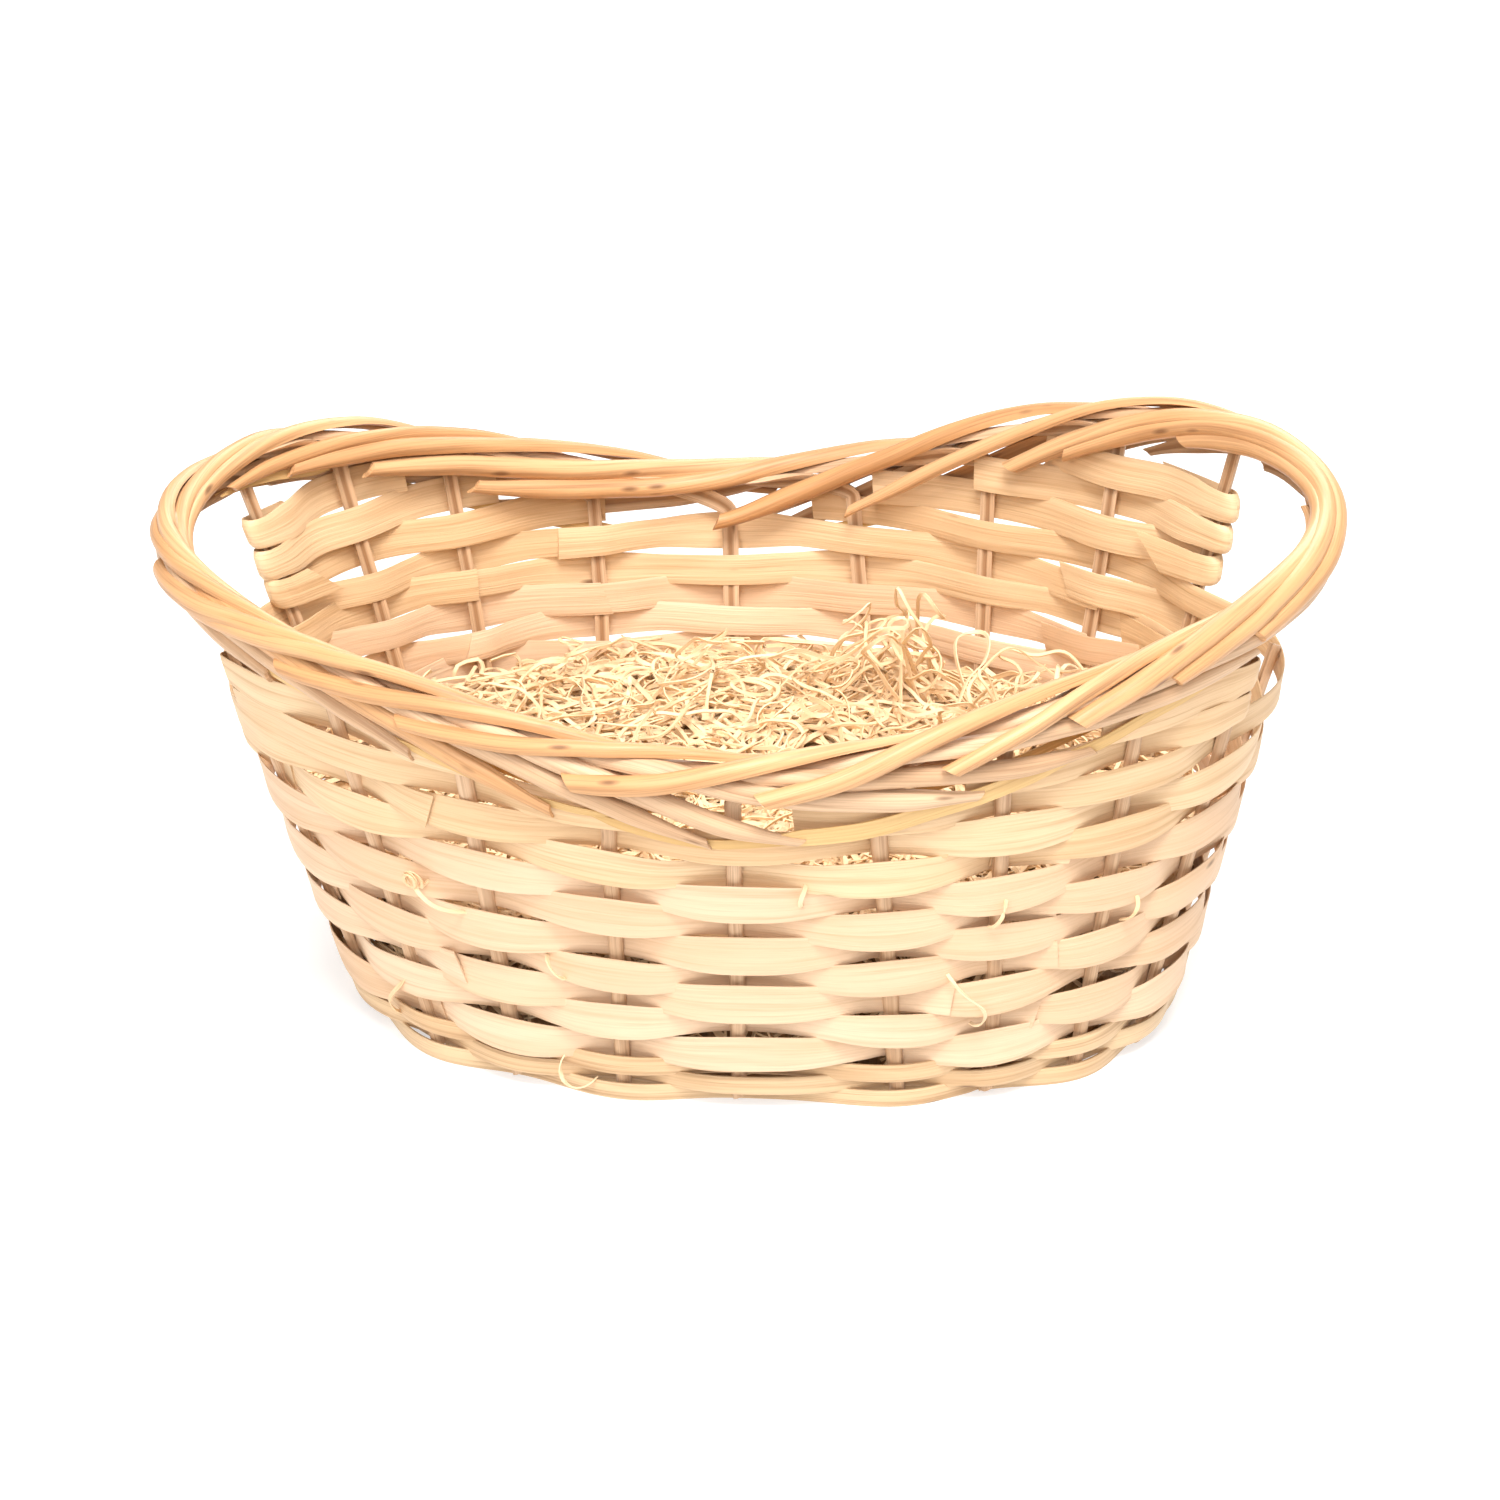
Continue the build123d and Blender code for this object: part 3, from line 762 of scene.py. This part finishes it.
def standing_loop(piece, spot, rise):
    plan = curl(rng.uniform(60, 130), rng.uniform(11, 22)) * 0.7 + spot
    along = np.linspace(0, 1, len(plan))
    arch = rise * np.sin(math.pi * along) ** 0.8 + drift(along, 0.6, rise * 0.15)
    path = np.column_stack([plan, bed_height(*plan.T) - 2 + arch])
    ribbon(piece, keep_inside(path, WOOL_INSET), rng.uniform(1.1, 1.6), rng.uniform(0.4, 0.6))


def side_strand(piece):
    angle = rng.uniform(0, 2 * math.pi)
    height = rng.uniform(14, 70)
    reach = float(inner_radius(np.array([angle]), height, WOOL_INSET)[0]) - rng.uniform(0, 4)
    plan = curl(rng.uniform(25, 70), rng.uniform(12, 30))
    path = np.column_stack([BASE_SHIFT + reach * math.cos(angle) - math.sin(angle) * plan[:, 0],
                            reach * math.sin(angle) + math.cos(angle) * plan[:, 0],
                            height + plan[:, 1] * 0.7])
    path[:, 2] = np.minimum(path[:, 2], WOOL_EDGE + 6)
    path = keep_inside(path, WOOL_INSET + rng.uniform(0, 3))
    ribbon(piece, path, rng.uniform(1.1, 1.8), rng.uniform(0.4, 0.7))


# Where curls stand out of the wool: place, rise and spread.
TANGLE_SPOTS = [((50, 52), 36, 16), ((96, 22), 34, 14), ((8, 50), 22, 20),
                ((-70, 40), 14, 22), ((105, -25), 16, 16)]
PACKS, LYING, LOOPS, TANGLE_LOOPS, SIDES = 3, 300, 20, 6, 260

for pack in range(PACKS):
    made = Piece()
    for index in range(LYING):
        lying_strand(made, abs(rng.normal(0, 3.5)))
    for index in range(LOOPS):
        standing_loop(made, spot_on_bed(0.8), rng.uniform(5, 13))
    for spot, rise, spread in TANGLE_SPOTS:
        for index in range(TANGLE_LOOPS):
            standing_loop(made, rng.normal(spot, spread), rise * rng.uniform(0.35, 1.0))
    for index in range(SIDES):
        side_strand(made)
    made.build(f"wool_strands_{pack + 1}", WOOL_WOOD, "nest", "wood_wool", ["wood_wool"], sharp=60)

# The dark core under the strands: its colour is painted shade seen through the gaps.
core = Piece()
shaded_wool_core(core)
core.build("shaded_wool_core", SHADED_WOOL_CORE, "nest", "wood_wool", ["wood_wool"], sharp=180)


# ---- Slivers and stray strands caught in the wall -------------------------------------
def sliver(piece, start, gaps, out, rise, sag, width):
    """Thin strip of bast running along the border's lower edge."""
    run = np.linspace(0, 1, int(gaps * SAMPLES) + 4)
    place = start + gaps * run
    bow = rise - sag * np.sin(math.pi * run) + drift(run, 0.8, 0.8)
    middle, facing = border_path(place, np.full_like(run, out) + drift(run, 0.7, 0.4), bow, 0 * run)
    tangent = unit(np.gradient(middle, axis=0))
    across = unit(np.cross(tangent, facing))
    half = width / 2 * (0.25 + 0.75 * smooth(run / 0.12) * smooth((1 - run) / 0.2))
    edge = np.array([-1, -0.4, 0.4, 1, 1, 0.4, -0.4, -1])
    face = np.array([1, 1.6, 1.6, 1, -1, -0.6, -0.6, -1]) * 0.22
    rings = (middle[:, None] + across[:, None] * (half[:, None] * edge)[..., None]
             + facing[:, None] * face[:, None])
    piece.tube(rings, edge * width / 2)


# Slivers on the outside and on the inside: start, length in gaps, rise, sag and width.
OUTER_SLIVERS = [(13.9, 2.4, -12.5, 4.5, 3.6), (15.2, 2.3, -13.5, 1.5, 6.5), (12.6, 1.6, -11, 2, 2.6),
                 (17.0, 1.8, -12, 2, 4.5), (3.2, 2.2, -13, 3, 3.5), (5.6, 2.0, -14, 2, 4.5),
                 (11.2, 1.3, -10, 1, 4.0), (7.4, 1.8, -12, 2, 3.0), (18.3, 1.0, -10, 1, 3.6)]
INNER_SLIVERS = [(8.1, 1.2, -9, 1, 3.0), (12.4, 2.6, -12, 2, 3.0), (16.0, 2.4, -12, 2, 3.4)]

made = Piece()
for slivers, least, most in ((OUTER_SLIVERS, 4.2, 5.6), (INNER_SLIVERS, -5.4, -4.4)):
    for start, gaps, rise, sag, width in slivers:
        sliver(made, start, gaps, rng.uniform(least, most), rise, sag, width)
made.build("bast_slivers", BAST_WOOD, "basket", "splint")


def stray_strand(piece, place, height, length, radius, stand):
    """Strand of wood wool poking out between two rows."""
    plan = curl(length, radius, 1.6)
    along = np.linspace(0, 1, len(plan))
    gaps = plan[:, 0] / GAP_LENGTH
    out = 1.5 + (3.0 + stand) * np.sin(math.pi * along) ** 0.6
    path = wall_point(place + gaps, height + plan[:, 1], out)
    ribbon(piece, path, rng.uniform(1.1, 1.5), 0.45)


# Strays: place, height, length, radius of the curl and how far it stands out.
STRAYS = [(12.45, 76, 62, 5.5, 3.0), (12.6, 71, 30, 7, 3.5), (13.55, 52, 14, 20, 2.5), (13.6, 8, 24, 9, 3.0),
          (16.95, 76, 16, 12, 2.5), (16.7, 42, 34, 8, 3.5), (18.2, 66, 14, 12, 2.0), (11.8, 22, 26, 9, 2.5),
          (15.4, 88, 12, 12, 2.0), (4.4, 60, 30, 8, 3.0), (6.8, 38, 20, 10, 2.5), (2.3, 72, 24, 9, 3.0)]

made = Piece()
for stray in STRAYS:
    stray_strand(made, *stray)
made.build("stray_strands", WOOL_WOOD, "basket", "wood_wool", sharp=60)


# ---- Camera, floor and light ---------------------------------------------------------
VIEW_ELEVATION, VIEW_YAW, VIEW_ROLL = math.radians(25.54), math.radians(1.2), math.radians(1.87)
VIEW_DISTANCE, VIEW_TARGET = 1.5204, Vector((0.0029, 0, 0.0798))
SENSOR, FOCAL_LENGTH = 36.0, 106.35
FLOOR_REACH, FLOOR_GLOW, FLOOR_ROUGHNESS, CLOUD_SCALE = 60.0, 0.6, 0.9, 3.0
FLOOR_COLOURS = (0.50, 0.50, 0.50, 1), (0.53, 0.53, 0.53, 1)
SKY_STRENGTH = 0.36
SOFT_WHITE = (1.0, 0.97, 0.95)
# Area lights, all aimed at the basket: name, place and width in metres, power in watts.
LIGHTS = [("key", (-0.6, -1.7, 1.3), 1.0, 20), ("fill", (1.4, -0.9, 1.1), 1.4, 4),
          ("back", (0.3, 1.6, 1.3), 1.2, 20), ("top", (0.05, -0.8, 2.0), 0.9, 57)]


def add_camera():
    forward = Vector((math.sin(VIEW_YAW) * math.cos(VIEW_ELEVATION),
                      math.cos(VIEW_YAW) * math.cos(VIEW_ELEVATION), -math.sin(VIEW_ELEVATION)))
    right = Vector((math.cos(VIEW_YAW), -math.sin(VIEW_YAW), 0))
    up = right.cross(forward)
    rolled_right = math.cos(VIEW_ROLL) * right + math.sin(VIEW_ROLL) * up
    rolled_up = math.cos(VIEW_ROLL) * up - math.sin(VIEW_ROLL) * right
    data = bpy.data.cameras.new("camera")
    data.lens = FOCAL_LENGTH
    data.sensor_width = SENSOR
    camera = bpy.data.objects.new("camera", data)
    turn = Matrix((rolled_right, rolled_up, -forward)).transposed()
    camera.matrix_world = Matrix.Translation(VIEW_TARGET - forward * VIEW_DISTANCE) @ turn.to_4x4()
    bpy.context.collection.objects.link(camera)
    bpy.context.scene.camera = camera


def add_floor():
    mesh = bpy.data.meshes.new("floor")
    corners = [(FLOOR_REACH * x, FLOOR_REACH * y, 0) for x, y in ((-1, -1), (1, -1), (1, 1), (-1, 1))]
    mesh.from_pydata(corners, [], [(0, 1, 2, 3)])
    floor = bpy.data.objects.new("floor", mesh)
    bpy.context.collection.objects.link(floor)
    material = bpy.data.materials.new("floor")
    material.use_nodes = True
    tree = material.node_tree
    shader = tree.nodes["Principled BSDF"]
    place = node(tree, "ShaderNodeTexCoord").outputs["Object"]
    cloud = node(tree, "ShaderNodeTexNoise", {"Vector": place, "Scale": CLOUD_SCALE}).outputs["Fac"]
    tree.links.new(mixed(tree, cloud, *FLOOR_COLOURS), shader.inputs["Base Color"])
    shader.inputs["Roughness"].default_value = FLOOR_ROUGHNESS
    shader.inputs["Emission Color"].default_value = (1, 1, 1, 1)
    shader.inputs["Emission Strength"].default_value = FLOOR_GLOW
    mesh.materials.append(material)


def add_light(name, place, size, power):
    data = bpy.data.lights.new(name, "AREA")
    data.size = size
    data.energy = power
    data.color = SOFT_WHITE
    light = bpy.data.objects.new(name, data)
    light.location = place
    light.rotation_euler = (VIEW_TARGET - Vector(place)).to_track_quat("-Z", "Y").to_euler()
    bpy.context.collection.objects.link(light)


def add_world():
    world = bpy.data.worlds.new("studio")
    world.use_nodes = True
    sky = world.node_tree.nodes["Background"]
    sky.inputs["Color"].default_value = (1.0, 1.0, 1.0, 1)
    sky.inputs["Strength"].default_value = SKY_STRENGTH
    bpy.context.scene.world = world


add_camera()
add_floor()
add_world()
for light in LIGHTS:
    add_light(*light)
# The woods are coloured for this transform; Blender's own choice pales them.
bpy.context.scene.view_settings.view_transform = "Standard"
